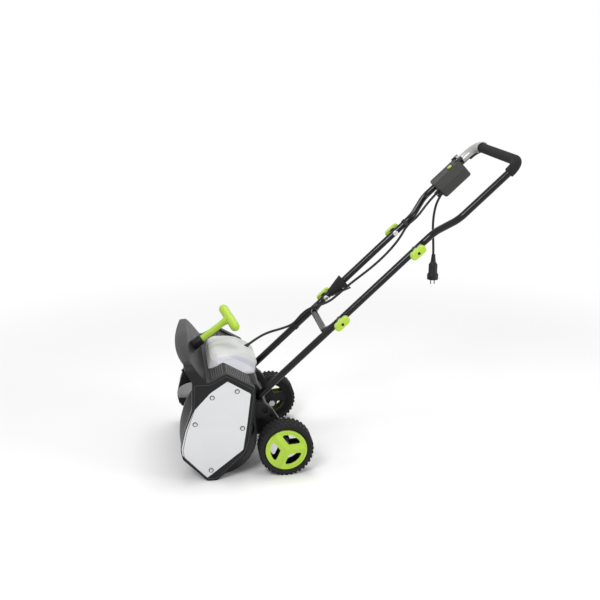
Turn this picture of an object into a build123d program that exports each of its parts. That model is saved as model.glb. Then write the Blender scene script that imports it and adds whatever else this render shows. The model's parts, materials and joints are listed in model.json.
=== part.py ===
from build123d import *
import os
from math import atan2, cos, degrees, radians, sin, tan

os.makedirs("parts", exist_ok=True)

# fits and gaps
running_fit = 0.05
free_gap = 0.4
lap_gap = 0.3

# machine width and side walls
body_half = 242.0
panel_thick = 26.0
panel_wall = 5.0
plate_thick = 2.5
plate_pocket = 2.0
plate_border = 5.0
screw_radius = 2.0
screw_head_radius = 5.0
screw_head_height = 2.0
screw_length = 12.0
screw_boss_radius = 5.5
panel_inner = body_half - panel_thick
pocket_floor = panel_inner + panel_wall
plate_outer = body_half - plate_pocket + plate_thick

# wheels and axles
wheel_radius = 85.0
tread_height = 2.5
tyre_width = 62.0
tyre_bead_radius = 66.0
lug_count = 36
lug_rows = 3
lug_length = 8.0
lug_width = 16.0
rim_wall = 5.0
rim_width = 48.0
hub_radius = 17.0
spoke_count = 3
spoke_half = 15.3
window_radius = 49.0
window_round = 5.0
cap_radius = 64.0
cap_wall = 4.0
cap_ridge = 7.0
cap_bead = 6.0
axle_radius = 6.0
axle_head_radius = 11.0
axle_head_height = 7.0
arm_set_out = 17.0
arm_thick = 26.0
wheel_gap = 5.0
arm_hub_radius = 20.0

# auger and trough
auger_x = 210.0
auger_z = 129.0
auger_radius = 112.0
auger_end_gap = 8.0
trough_radius = 118.0
trough_wall = 4.0
shaft_radius = 8.0
auger_hub_radius = 20.0
paddle_thick = 5.0
paddle_twist = 80.0
paddle_rest_deg = 58.0
bearing_radius = 14.0
bearing_flange_radius = 18.0
bearing_flange = 2.0

# motor and belt drive
motor_x = 131.0
motor_z = 268.0
motor_radius = 27.0
motor_length = 140.0
motor_shaft_radius = 5.0
drive_pulley_radius = 9.5
driven_pulley_radius = 38.0
pulley_width = 10.0
belt_thick = 2.5
belt_width = 8.0
pulley_gap = 5.0

# hood, chute vanes and chute handle
ridge_x = 286.0
ridge_z = 383.0
slope_deg = 53.5
valley_z = 318.0
lip_x = 325.0
lip_drop = 14.0
lip_bow_radius = 1230.0
hood_wall = 5.0
hood_arm = 12.0
hood_corner = 40.0
pivot_down = 32.0
vane_pitch = 78.0
vane_count_side = 2
vane_thick = 3.0
vane_front = 9.0
vane_back = 36.0
vane_depth = 30.0
vane_hub_radius = 7.0
vane_hub_depth = 14.0
vane_pin_radius = 4.0
vane_pin_length = 3.5
crank_length = 22.0
crank_pin_radius = 2.5
tie_bar_width = 9.0
tie_bar_thick = 5.0
stem_radius = 10.5
stem_length = 145.0
stem_neck_radius = 13.5
grip_half = 54.0
grip_radius = 15.0
handle_rest_deg = 42.0
socket_radius = 16.5
socket_length = 36.0

# motor cover
cover_half = 119.0
cover_wall = 3.0
cover_round = 22.0

# handle tubes, measured along the handle from the lower pivot
pivot_x = -182.8
pivot_z = 461.1
handle_deg = 42.75
tube_radius = 11.0
tube_wall = 1.5
tube_half = 131.0
lower_top = 92.0
upper_pivot = 315.8
brace_at = -60.0
brace_bend = 42.0
upper_low = 222.0
middle_top = 340.0
flare_start = 395.0
flare_end = 470.0
flare_half = 195.0
grip_at = 717.0
grip_bend = 45.0
foam_radius = 16.0
foam_low = 670.0
bolt_radius = 4.0
bolt_head_radius = 9.0
bolt_head_height = 4.0
saddle_radius = 13.0
saddle_height = 6.0
knob_length = 55.0
knob_width = 24.0
knob_height = 30.0
knob_base_radius = 12.0

# switch box, levers and cables
box_low = 520.0
box_high = 633.0
box_out = 218.0
box_in = 135.0
box_top = -20.0
box_split = 6.0
box_bottom = 38.0
box_wall = 3.0
box_chamfer = 24.0
button_radius = 8.0
button_travel = 3.5
button_proud = 5.0
button_s = 598.0
button_y = -172.0
bail_gap = 2.0
bail_wall = 2.0
bail_skirt = 2.0
bail_pin_radius = 3.0
bail_barrel_radius = 5.5
bail_s = 643.0
bail_d = -18.0
bail_reach = 50.0
cable_radius = 4.0
cable_gap = 1.6
gland_radius = 7.0
gland_length = 18.0
clip_wall = 2.0
clip_width = 12.0
lower_clip_at = -141.0
upper_clip_at = 362.0
plug_body_radius = 15.0
plug_flange_radius = 19.0

# places that follow from the sizes above
auger_half = panel_inner - auger_end_gap
pulley_low = pocket_floor + pulley_gap
arm_inner = tube_half + arm_set_out
arm_outer = arm_inner + arm_thick
wheel_inner = arm_outer + wheel_gap
beyond = 2 * body_half

nodes = {}


def outline(points, radii=0):
    return make_face(FilletPolyline(*points, radius=radii, close=True))


def slab(face, low, high):
    return extrude(Pos(0, high, 0) * (Plane.XZ * face), amount=high - low, dir=(0, -1, 0))


def rod(x, z, radius, low, high):
    return Pos(x, (low + high) / 2, z) * (Rot(90, 0, 0) * Cylinder(radius, high - low))


def other_side(shape):
    return mirror(shape, about=Plane.XZ)


def tube(points, radii, radius):
    path = FilletPolyline(*points, radius=radii) if len(points) > 2 else Line(*points)
    return sweep(Plane(origin=path @ 0, z_dir=path % 0) * Circle(radius), path=path)


handle_run = radians(handle_deg)
handle_frame = Plane(
    origin=(pivot_x, 0, pivot_z),
    x_dir=(-cos(handle_run), 0, sin(handle_run)),
    z_dir=(-sin(handle_run), 0, -cos(handle_run)),
)


def on_handle(shape):
    return handle_frame.location * shape


def handle_point(s, y, d):
    return tuple(handle_frame.from_local_coords((s, y, d)))


# side panel and side plate outlines, seen from the left
panel_points = [
    (179, 344), (93, 294), (93, 257), (105, 176), (110, 121), (125, 81), (215, 0),
    (243, 0), (316, 75), (322, 104), (308, 166), (284, 233), (281, 318), (229, 318),
]
panel_radii = [10, 14, 20, 60, 20, 24, 12, 12, 16, 24, 60, 30, 0, 10]
plate_points = [
    (176, 320), (107, 277), (120, 177), (133, 97), (244, 11), (317, 90), (319, 110),
    (305, 168), (279, 231), (228, 286),
]
plate_radii = [4, 6, 80, 14, 5, 10, 12, 80, 60, 60]
screw_spots = [(223, 271), (148, 287), (276, 188), (134, 167), (232, 35)]
panel_face = outline(panel_points, panel_radii)
plate_face = outline(plate_points, plate_radii)
drive_face = offset(plate_face, amount=-plate_border)


def side_panel(with_motor):
    panel = slab(panel_face, panel_inner, body_half)
    panel -= slab(plate_face, body_half - plate_pocket, body_half + 1)
    panel -= slab(drive_face, pocket_floor, body_half)
    for x, z in screw_spots:
        panel += rod(x, z, screw_boss_radius, panel_inner, body_half - plate_pocket)
        panel -= rod(x, z, screw_radius, body_half - screw_length, body_half)
    panel -= rod(auger_x, auger_z, bearing_radius, panel_inner - 1, pocket_floor + 1)
    if with_motor:
        panel -= rod(motor_x, motor_z, motor_shaft_radius + 2, panel_inner - 1, pocket_floor + 1)
    # grip ribs along the two lower edges
    for start, end, count in (((252, 9), (312, 71), 8), ((206, 8), (150, 58), 6)):
        for i in range(count):
            x = start[0] + (end[0] - start[0]) * i / (count - 1)
            z = start[1] + (end[1] - start[1]) * i / (count - 1)
            turn = degrees(atan2(end[1] - start[1], end[0] - start[0]))
            notch = Pos(x, panel_inner, z) * (Rot(0, -turn, 0) * Box(3, 30, 5))
            panel -= notch
    return panel


left_panel = side_panel(True)
right_panel = other_side(side_panel(False))
side_plate = slab(plate_face, body_half - plate_pocket, plate_outer)
screws = []
for x, z in screw_spots:
    side_plate -= rod(x, z, screw_radius, body_half - plate_pocket - 1, plate_outer + 1)
    head = rod(x, z, screw_head_radius, plate_outer, plate_outer + screw_head_height)
    head -= Pos(x, plate_outer + screw_head_height, z) * Box(6, 1.6, 1.4)
    screws.append(head + rod(x, z, screw_radius, body_half - screw_length, plate_outer + 0.5))
nodes["left_side_panel"] = left_panel
nodes["right_side_panel"] = right_panel
nodes["left_side_plate"] = side_plate
nodes["right_side_plate"] = other_side(side_plate)
nodes["side_plate_screws"] = Compound(children=screws + [other_side(s) for s in screws])

# slope of the hood, and the frame that the chute pivots stand in
slope = radians(slope_deg)
valley_x = ridge_x - (ridge_z - valley_z) / tan(slope)
slope_strip = hood_wall / sin(slope)
chute_frame = Plane(
    origin=(ridge_x - pivot_down * cos(slope), 0, ridge_z - pivot_down * sin(slope)),
    x_dir=(cos(slope), 0, sin(slope)),
    z_dir=(-sin(slope), 0, cos(slope)),
)


def on_chute(shape):
    return chute_frame.location * shape


# auger housing: trough, ramp, roof and motor bay in one section
trough_start = radians(130)


def on_trough(radius, turn):
    return (auger_x + radius * cos(turn), auger_z + radius * sin(turn))


def shifted(point, x, z):
    return (point[0] + x, point[1] + z)


ramp_foot = on_trough(trough_radius, trough_start)
ramp_top = (valley_x + slope_strip, valley_z)
lip_turn = radians(288)
trough_lip = on_trough(trough_radius, lip_turn)
trough_outer = trough_radius + trough_wall
rear_wall_x = 92.0
rear_wall_low = auger_z + (trough_outer**2 - (auger_x - rear_wall_x) ** 2) ** 0.5
roof_points = [
    ramp_top, (valley_x, valley_z), (226, 314), (180, 337), (97, 288), (rear_wall_x, 262),
    (rear_wall_x, rear_wall_low), (auger_x, auger_z),
]
bay_points = [(97.5, 192), (131, 225), (220, 308), (180, 332), (100, 285)]
auger_circle = Pos(auger_x, auger_z) * Circle(trough_radius)
mouth_points = [ramp_foot, ramp_top, (420, valley_z), (420, trough_lip[1])]
mouth_points += [trough_lip, (auger_x, auger_z)]
housing_face = outline(roof_points) + Pos(auger_x, auger_z) * Circle(trough_outer)
housing_face -= auger_circle
housing_face -= outline(mouth_points)
housing_face -= outline(bay_points, 6) - Pos(auger_x, auger_z) * Circle(trough_outer)
housing = slab(housing_face, -panel_inner, panel_inner)
nodes["auger_housing"] = housing

# scraper bar under the front lip of the trough
scraper_turn = radians(276)
scraper_tail = on_trough(trough_outer, scraper_turn)
scraper_nose = on_trough(trough_outer, lip_turn)
scraper_points = [scraper_tail, scraper_nose, shifted(scraper_nose, 10.3, 1.0)]
scraper_points += [shifted(scraper_nose, 14.3, -2.0), shifted(scraper_nose, 10.3, -10.0)]
scraper_points += [shifted(scraper_tail, 13.2, -5.7)]
scraper_face = outline(scraper_points) - Pos(auger_x, auger_z) * Circle(trough_outer)
nodes["scraper_bar"] = slab(scraper_face, -panel_inner, panel_inner)

# hood: arch with a bowed front lip, open below and to the front
lip_z = ridge_z - lip_drop
hood_points = [
    (valley_x, valley_z), (ridge_x, ridge_z), (lip_x, lip_z), (lip_x, lip_z - 6), (304, 360),
    (289, 335), (281, valley_z),
]
hood_face = outline(hood_points, [0, 3, 1.5, 1.5, 12, 30, 0])
inner_ridge_z = ridge_z - hood_wall
inner_ridge_x = ridge_x + slope_strip - hood_wall / tan(slope)
inner_fall = (420 - inner_ridge_x) * lip_drop / (lip_x - ridge_x)
inner_points = [
    (ramp_top[0] - 40 / tan(slope), valley_z - 40), (inner_ridge_x, inner_ridge_z),
    (420, inner_ridge_z - inner_fall), (420, valley_z - 40),
]


def arch(half, top, corner):
    points = [(-half, valley_z - 60), (half, valley_z - 60), (half, top), (-half, top)]
    return extrude(Plane.YZ * outline(points, [0, 0, corner, corner]), amount=600, dir=(1, 0, 0))


hood = slab(hood_face, -body_half, body_half) & arch(body_half, ridge_z, hood_corner)
hood &= Pos(lip_x - lip_bow_radius, 0, ridge_z) * Cylinder(lip_bow_radius, 300)
hood_space = slab(outline(inner_points), hood_arm - body_half, body_half - hood_arm)
hood -= hood_space & arch(body_half - hood_arm, inner_ridge_z, hood_corner - hood_arm)
vane_spots = [i * vane_pitch for i in range(-vane_count_side, vane_count_side + 1) if i != 0]
stem_bore = Cylinder(stem_radius + running_fit, 3 * hood_wall)
hood -= on_chute(stem_bore)
for y in vane_spots:
    blind = Pos(0, y, -hood_wall) * Cylinder(vane_pin_radius + running_fit, 2 * (vane_pin_length + 0.3))
    hood -= on_chute(blind)
nodes["hood"] = hood

# socket round the chute handle stem, standing on the slope
socket_profile = Cylinder(socket_radius, socket_length, align=(Align.CENTER, Align.CENTER, Align.MIN))
socket_profile = chamfer(socket_profile.edges().group_by(Axis.Z)[-1], 3)
socket_profile -= Cylinder(stem_radius + running_fit, 3 * socket_length)
nodes["handle_socket"] = on_chute(socket_profile)

# vanes hang below the slope, turned to the resting angle
rest_turn = Rot(0, 0, handle_rest_deg)
vane_top = -hood_wall - free_gap
blade_top = vane_top - vane_hub_depth + free_gap


def vane(pin_radius, pin_top):
    blade = Pos((vane_front - vane_back) / 2, 0, blade_top - vane_depth / 2)
    shape = blade * Box(vane_front + vane_back, vane_thick, vane_depth)
    hub = Cylinder(vane_hub_radius, vane_top - blade_top + vane_depth / 2)
    shape += Pos(0, 0, vane_top - (vane_top - blade_top + vane_depth / 2) / 2) * hub
    pin_length = pin_top - vane_top
    if pin_length > 0:
        shape += Pos(0, 0, vane_top + pin_length / 2) * Cylinder(pin_radius, pin_length)
    crank_top = vane_top - 0.6
    crank_pin = Cylinder(crank_pin_radius, crank_top - blade_top)
    shape += Pos(-crank_length, 0, (crank_top + blade_top) / 2) * crank_pin
    return rest_turn * shape


vane_names = ["outer_right_vane", "inner_right_vane", "inner_left_vane", "outer_left_vane"]
for name, y in zip(vane_names, vane_spots):
    nodes[name] = on_chute(Pos(0, y, 0) * vane(vane_pin_radius, vane_pin_length - hood_wall))
stem_foot = vane_top - 6
centre = vane(stem_radius, vane_top) - rest_turn * Cylinder(4.0, 2 * hood_wall - 2 * stem_foot - 10)
nodes["centre_vane"] = on_chute(centre)
stem = Pos(0, 0, (stem_length + vane_top) / 2) * Cylinder(stem_radius, stem_length - vane_top)
stem += Pos(0, 0, vane_top - 3) * Cylinder(4.0, 6)
grip = Rot(90, 0, 0) * Cylinder(grip_radius, 2 * (grip_half - grip_radius))
for end in (-1, 1):
    grip += Pos(0, end * (grip_half - grip_radius), 0) * Sphere(grip_radius)
neck = Cone(stem_radius, stem_neck_radius, 24)
chute_grip = Pos(0, 0, stem_length) * grip + Pos(0, 0, stem_length - 20) * neck
chute_grip += stem
nodes["chute_handle"] = on_chute(rest_turn * chute_grip)

# tie bar joins the crank pins of all five vanes
crank_x = -crank_length * cos(radians(handle_rest_deg))
crank_y = -crank_length * sin(radians(handle_rest_deg))
bar_mid = (vane_top + blade_top) / 2
bar = Pos(crank_x, crank_y, bar_mid) * Box(tie_bar_width, 4 * vane_pitch + 16, tie_bar_thick)
for y in vane_spots + [0]:
    crank_hole = Cylinder(crank_pin_radius + running_fit, 3 * tie_bar_thick)
    bar -= Pos(crank_x, crank_y + y, bar_mid) * crank_hole
nodes["tie_bar"] = on_chute(bar)

# motor cover on the roof, hollow and open below
cover_points = [
    (226, 314), (219, 348), (206, 361), (140, 364), (92, 355), (70, 341), (80, 292), (97, 288), (180, 337),
]
cover_face = outline(cover_points, [0, 12, 24, 120, 50, 14, 6, 0, 0])
cover = slab(cover_face, -cover_half, cover_half)
cover_edges = []
for edge in cover.edges():
    mid = edge.center()
    on_side = abs(abs(mid.Y) - cover_half) < 0.01
    above_roof = mid.Z > 338 or (mid.X > 215 and mid.Z > 325)
    if on_side and above_roof:
        cover_edges.append(edge)
cover = fillet(cover_edges, cover_round)
cover_space = offset(cover_face, amount=-cover_wall)
for drop in (4, 8):
    cover_space += Pos(0, -drop) * offset(cover_face, amount=-cover_wall)
cover_room = cover_half - cover_wall - cover_round / 3
cover -= slab(cover_space, -cover_room, cover_room)
nodes["motor_cover"] = cover

# rear housing behind the trough
rear_points = [
    (rear_wall_x, 262), (76, 258), (67, 244), (67, 196), (40, 172), (36, 104), (46, 90), (110, 90),
    (130, 129), (rear_wall_x, rear_wall_low),
]
rear_half = tube_half - tube_radius - free_gap
rear_face = outline(rear_points, [0, 8, 10, 10, 14, 8, 6, 0, 0, 0])
rear_face -= Pos(auger_x, auger_z) * Circle(trough_outer)
rear_space_points = [
    (rear_wall_x, 250), (78, 250), (72, 240), (72, 194), (45, 170), (41, 108), (50, 96), (110, 96),
    (130, 129),
]
rear_space = outline(rear_space_points)
rear = slab(rear_face, -rear_half, rear_half)
rear -= slab(rear_space, 4 - rear_half, rear_half - 4)
nodes["rear_housing"] = rear

# lower tubes, bent down at the foot and half lapped round the lower pivot
foot_bend = handle_point(-342.0, tube_half, 0)
foot_end = (79.0, tube_half, 192.0)
tube_path = [handle_point(lower_top, tube_half, 0), foot_bend, foot_end]


def half_tube(s_low, s_high, keep_outer, wall):
    # block on the side of the lap plane that is cut away, in handle coordinates
    edge = tube_half + lap_gap / 2 + wall if keep_outer else tube_half - lap_gap / 2 - wall
    width = 2 * tube_radius
    y = edge - width / 2 if keep_outer else edge + width / 2
    return on_handle(Pos((s_low + s_high) / 2, y, 0) * Box(s_high - s_low, width, 3 * width))


lower_lap_low = brace_at - tube_radius - 4
outer_tube = tube(tube_path, [30], tube_radius) - half_tube(lower_lap_low, lower_top + 1, True, 0)
inner_path = [handle_point(lower_top - tube_wall, tube_half, 0), foot_bend, foot_end]
inner_tube = tube(inner_path, [30], tube_radius - tube_wall)
inner_tube -= half_tube(lower_lap_low - tube_wall, lower_top + 1, True, tube_wall)
lower_tube = outer_tube - inner_tube
bolt_hole = rod(pivot_x, pivot_z, bolt_radius, 0, beyond)
lower_tube -= bolt_hole
nodes["left_lower_tube"] = lower_tube
nodes["right_lower_tube"] = other_side(lower_tube)

# wheel arms with a socket for the tube foot
arm_points = [
    (rear_wall_x, 216), (58, 216), (34, 194), (6, 146), (-arm_hub_radius, 90), (-12, 69), (12, 69),
    (34, 138), (62, 166), (rear_wall_x, 168),
]
arm_face = outline(arm_points, [0, 8, 14, 40, 14, 14, 14, 30, 20, 0])
arm = slab(arm_face, arm_inner, arm_outer)
socket_points = [(rear_wall_x, 216), (58, 216), (52, 208), (62, 178), (rear_wall_x, 180)]
arm += slab(outline(socket_points, [0, 6, 6, 10, 0]), rear_half, arm_inner)
arm -= tube(tube_path, [30], tube_radius)
for x, z, radius in ((58, 192, 9), (37, 172, 7), (20, 142, 6)):
    arm -= rod(x, z, radius, arm_outer - 9, arm_outer + 1)
arm -= rod(0, wheel_radius, axle_radius, arm_inner - 1, arm_outer + 1)
nodes["left_wheel_arm"] = arm
nodes["right_wheel_arm"] = other_side(arm)

# axle bolts: head inside the arm, collar, journal and end stop inside the hub cap
rim_low = wheel_inner + (tyre_width - rim_width) / 2
rim_high = rim_low + rim_width
hub_low = wheel_inner
hub_high = rim_high - 6
axle = rod(0, wheel_radius, axle_radius, arm_inner, hub_high + free_gap + 4)
head = extrude(Pos(0, arm_inner, wheel_radius) * (Plane.XZ * RegularPolygon(axle_head_radius, 6)),
               amount=axle_head_height, dir=(0, -1, 0))
axle += head
axle += rod(0, wheel_radius, axle_radius + 4, arm_outer, hub_low - free_gap)
axle += rod(0, wheel_radius, axle_radius + 3, hub_high + free_gap, hub_high + free_gap + 4)
nodes["axle_bolts"] = Compound(children=[axle, other_side(axle)])

# wheels, built with the axle along Z and then laid over


def lay_wheel(shape):
    return Pos(0, wheel_inner, wheel_radius) * (Rot(-90, 0, 0) * shape)


tyre_core = wheel_radius - tread_height
tyre_points = [
    (tyre_bead_radius, 4), (tyre_bead_radius, tyre_width - 4), (tyre_core - 4, tyre_width),
    (tyre_core, tyre_width - 6), (tyre_core, 6), (tyre_core - 4, 0),
]
tyre = revolve(Plane.XZ * outline(tyre_points, [0, 0, 4, 4, 4, 4]), axis=Axis.Z)
lug_pitch = (tyre_width - 6 - lug_width) / (lug_rows - 1)
lugs = []
for i in range(lug_count):
    for row in range(lug_rows):
        turn = 360.0 * (i + 0.5 * (row % 2)) / lug_count
        height = 3 + lug_width / 2 + row * lug_pitch
        block = Box(tread_height + 4, lug_length, lug_width)
        lugs.append(Rot(0, 0, turn) * (Pos(tyre_core + tread_height / 2 - 2, 0, height) * block))
tyre += lugs
tyre &= Cylinder(wheel_radius, tyre_width, align=(Align.CENTER, Align.CENTER, Align.MIN))
rim_span = Pos(0, 0, rim_low - wheel_inner)
low_align = (Align.CENTER, Align.CENTER, Align.MIN)
rim = rim_span * Cylinder(tyre_bead_radius, rim_width, align=low_align)
rim -= Cylinder(tyre_bead_radius - rim_wall, 3 * tyre_width)
web = Pos(0, 0, 14) * Cylinder(tyre_bead_radius - rim_wall, 5, align=low_align)
windows = []
spoke_turns = [185 + 120 * i for i in range(spoke_count)]
for start in spoke_turns:
    mid = radians(start + 60)
    apex = (spoke_half / sin(radians(60)) * cos(mid), spoke_half / sin(radians(60)) * sin(mid))
    ends = []
    for turn in (mid - radians(60), mid + radians(60)):
        ends.append((apex[0] + 2 * wheel_radius * cos(turn), apex[1] + 2 * wheel_radius * sin(turn)))
    pane = outline([apex, ends[0], ends[1]]) & Circle(window_radius)
    pane = fillet(pane.vertices(), window_round)
    windows.append(extrude(pane, amount=4 * tyre_width, both=True))
web -= windows
rim += web
rim += Cylinder(hub_radius, hub_high - hub_low, align=low_align)
for turn in spoke_turns:
    spoke = Box(tyre_bead_radius - rim_wall, 5, rim_width - 16, align=low_align)
    rim += Rot(0, 0, turn) * (Pos(tyre_bead_radius / 2 - rim_wall / 2, 0, 14) * spoke)
rim -= Cylinder(axle_radius + running_fit, 4 * tyre_width)
cap_low = rim_high - wheel_inner
cap = Pos(0, 0, cap_low) * Cylinder(cap_radius, cap_wall, align=low_align)
cap -= windows
ridge_section = Plane.YZ * outline([(-spoke_half, 0), (spoke_half, 0), (0, cap_ridge)])
for turn in spoke_turns:
    ridge = extrude(ridge_section, amount=cap_radius - cap_bead / 2, dir=(1, 0, 0))
    cap += Pos(0, 0, cap_low + cap_wall - 1) * (Rot(0, 0, turn) * ridge)
bead = Cylinder(cap_radius, cap_wall + 2, align=low_align) - Cylinder(cap_radius - cap_bead, 4 * cap_wall)
cap += Pos(0, 0, cap_low) * bead
for side, flip in (("left", False), ("right", True)):
    for piece, shape in (("tyre", tyre), ("rim", rim), ("hub_cap", cap)):
        laid = lay_wheel(shape)
        nodes[side + "_" + piece] = other_side(laid) if flip else laid

# auger shaft, bearings, paddles and belt drive
shaft_right = -(panel_inner + panel_wall - 1)
auger_shaft = rod(auger_x, auger_z, shaft_radius, shaft_right, pulley_low + pulley_width + 1)
nodes["auger_shaft"] = auger_shaft
bearing = rod(auger_x, auger_z, bearing_radius, panel_inner, pocket_floor)
bearing += rod(auger_x, auger_z, bearing_flange_radius, panel_inner - bearing_flange, panel_inner)
bearing -= rod(auger_x, auger_z, shaft_radius + running_fit, 0, beyond)
nodes["shaft_bearings"] = Compound(children=[bearing, other_side(bearing)])
rotor = rod(auger_x, auger_z, auger_hub_radius, -auger_half, auger_half)
blade_steps = 5
for turn in (0, 180):
    for side in (-1, 1):
        sections = []
        for i in range(blade_steps + 1):
            y = side * auger_half * i / blade_steps
            angle = turn + paddle_rest_deg - paddle_twist * i / blade_steps
            blade = [
                (auger_hub_radius - 4, -paddle_thick / 2), (auger_radius - 30, -paddle_thick / 2),
                (auger_radius, 14 - paddle_thick / 2), (auger_radius, 14 + paddle_thick / 2),
                (auger_radius - 30, paddle_thick / 2), (auger_hub_radius - 4, paddle_thick / 2),
            ]
            face = Plane.XZ * (Rot(0, 0, angle) * outline(blade))
            sections.append(Pos(auger_x, y, auger_z) * face)
        rotor += loft(sections, ruled=True)
rotor &= rod(auger_x, auger_z, auger_radius, -auger_half, auger_half)
rotor -= rod(auger_x, auger_z, shaft_radius, -beyond, beyond)
nodes["auger_paddles"] = rotor
driven = rod(auger_x, auger_z, driven_pulley_radius, pulley_low, pulley_low + pulley_width)
driven -= rod(auger_x, auger_z, driven_pulley_radius - 8, pulley_low + 4, pulley_low + pulley_width + 1)
driven += rod(auger_x, auger_z, shaft_radius + 6, pulley_low, pulley_low + pulley_width)
driven -= rod(auger_x, auger_z, shaft_radius, 0, beyond)
nodes["driven_pulley"] = driven
motor_high = panel_inner - 2
motor_low = motor_high - motor_length
motor = rod(motor_x, motor_z, motor_radius, motor_low, motor_high)
motor += rod(motor_x, motor_z, 12, motor_high, panel_inner)
motor -= rod(motor_x, motor_z, motor_shaft_radius + running_fit, motor_low + 6, beyond)
nodes["motor_body"] = motor
shaft = rod(motor_x, motor_z, motor_shaft_radius, motor_low + 6 + free_gap, pulley_low + pulley_width)
shaft += rod(motor_x, motor_z, drive_pulley_radius, pulley_low, pulley_low + pulley_width)
nodes["motor_shaft"] = shaft


def belt_loop(extra):
    small = Pos(motor_x, motor_z) * Circle(drive_pulley_radius + free_gap + extra)
    large = Pos(auger_x, auger_z) * Circle(driven_pulley_radius + free_gap + extra)
    return make_hull(small.edges() + large.edges())


belt_low = pulley_low + (pulley_width - belt_width) / 2
nodes["drive_belt"] = slab(belt_loop(belt_thick) - belt_loop(0), belt_low, belt_low + belt_width)

# middle handle: a U of tube, lapped inside at its foot and outside at its top
middle_full_low = lower_top + 2
middle_full_high = upper_low - 2


def both_sides(shape):
    return [shape, other_side(shape)]


def middle_tube(radius, top, wall):
    points = [(top, tube_half, 0), (brace_at, tube_half, 0), (brace_at, -tube_half, 0), (top, -tube_half, 0)]
    shape = on_handle(tube(points, [brace_bend, brace_bend], radius))
    for block in both_sides(half_tube(brace_at - 40, middle_full_low + wall, False, wall)):
        shape -= block
    for block in both_sides(half_tube(middle_full_high - wall, middle_top + 10, True, wall)):
        shape -= block
    return shape


upper_x, _, upper_z = handle_point(upper_pivot, 0, 0)
middle = middle_tube(tube_radius, middle_top, 0)
middle -= middle_tube(tube_radius - tube_wall, middle_top - tube_wall, tube_wall)
middle -= rod(pivot_x, pivot_z, bolt_radius + running_fit, -beyond, beyond)
middle -= rod(upper_x, upper_z, bolt_radius, -beyond, beyond)
nodes["middle_handle"] = middle

# upper handle: legs lapped inside at the foot, flared, closed by the grip bar
upper_full_low = upper_pivot + 36


def handle_loop(low):
    half = [(low, tube_half, 0), (flare_start, tube_half, 0)]
    half += [(flare_end, flare_half, 0), (grip_at, flare_half, 0)]
    return half + [(s, -y, d) for s, y, d in reversed(half)]


def upper_tube(radius, low, wall):
    radii = [60, 60, grip_bend, grip_bend, 60, 60]
    shape = on_handle(tube(handle_loop(low), radii, radius))
    for block in both_sides(half_tube(upper_low - 20, upper_full_low + wall, False, wall)):
        shape -= block
    return shape


upper = upper_tube(tube_radius, upper_low, 0)
upper -= upper_tube(tube_radius - tube_wall, upper_low + tube_wall, tube_wall)
upper -= rod(upper_x, upper_z, bolt_radius + running_fit, -beyond, beyond)
nodes["upper_handle"] = upper
foam_points = [(foam_low, flare_half, 0), (grip_at, flare_half, 0)]
foam_points += [(s, -y, d) for s, y, d in reversed(foam_points)]
foam_bends = [grip_bend, grip_bend]
foam = tube(foam_points, foam_bends, foam_radius) - tube(foam_points, foam_bends, tube_radius)
nodes["foam_grip"] = on_handle(foam)

# pivot bolts, saddles and wing knobs
tube_inner = tube_half - tube_radius
tube_outer = tube_half + tube_radius
knob_low = tube_outer + saddle_height + free_gap
bolt_end = knob_low + 20


def pivot_bolt(x, z):
    bolt = rod(x, z, bolt_radius, tube_inner - free_gap - 1, bolt_end)
    crown = rod(x, z, bolt_head_radius, tube_inner - free_gap - bolt_head_height, tube_inner - free_gap)
    return bolt + fillet(crown.edges().group_by(Axis.Y)[0], 2.5)


def saddle(x, z):
    shape = rod(x, z, saddle_radius, tube_outer - 4, tube_outer + saddle_height)
    shape -= rod(x, z, bolt_radius, 0, beyond)
    run = Line(handle_point(-100, tube_half, 0), handle_point(450, tube_half, 0))
    return shape - sweep(Plane(origin=run @ 0, z_dir=run % 0) * Circle(tube_radius), path=run)


def knob(x, z, side):
    along = (-cos(handle_run), 0, sin(handle_run))
    frame = Plane(origin=(x, side * knob_low, z), x_dir=along, z_dir=(0, side, 0))
    wing = extrude(SlotOverall(knob_length, knob_width), amount=knob_height - 8)
    wing = fillet(wing.edges().group_by(Axis.Z)[-1], 5)
    shape = Pos(0, 0, 8) * wing + Cylinder(knob_base_radius, 10, align=low_align)
    shape -= Cylinder(bolt_radius + running_fit, 2 * (bolt_end - knob_low + free_gap))
    return frame.location * shape


for level, x, z in (("lower", pivot_x, pivot_z), ("upper", upper_x, upper_z)):
    nodes[level + "_pivot_bolts"] = Compound(children=both_sides(pivot_bolt(x, z)))
    nodes[level + "_knob_saddles"] = Compound(children=both_sides(saddle(x, z)))
    nodes["left_" + level + "_knob"] = knob(x, z, 1)
    nodes["right_" + level + "_knob"] = knob(x, z, -1)


# cables: straight runs joined by arcs that touch them
def cord_radii(points):
    radii = []
    for a, b, c in zip(points, points[1:], points[2:]):
        first = Vector(*b) - Vector(*a)
        second = Vector(*c) - Vector(*b)
        turn = radians(first.get_angle(second))
        shorter = min(first.length, second.length)
        radii.append(0.45 * shorter / tan(turn / 2))
    print("arc radii", [round(r) for r in radii])
    return radii


def cord(points):
    return tube(points, cord_radii(points), cable_radius)


def handle_points(points):
    return [handle_point(*p) for p in points]


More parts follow.
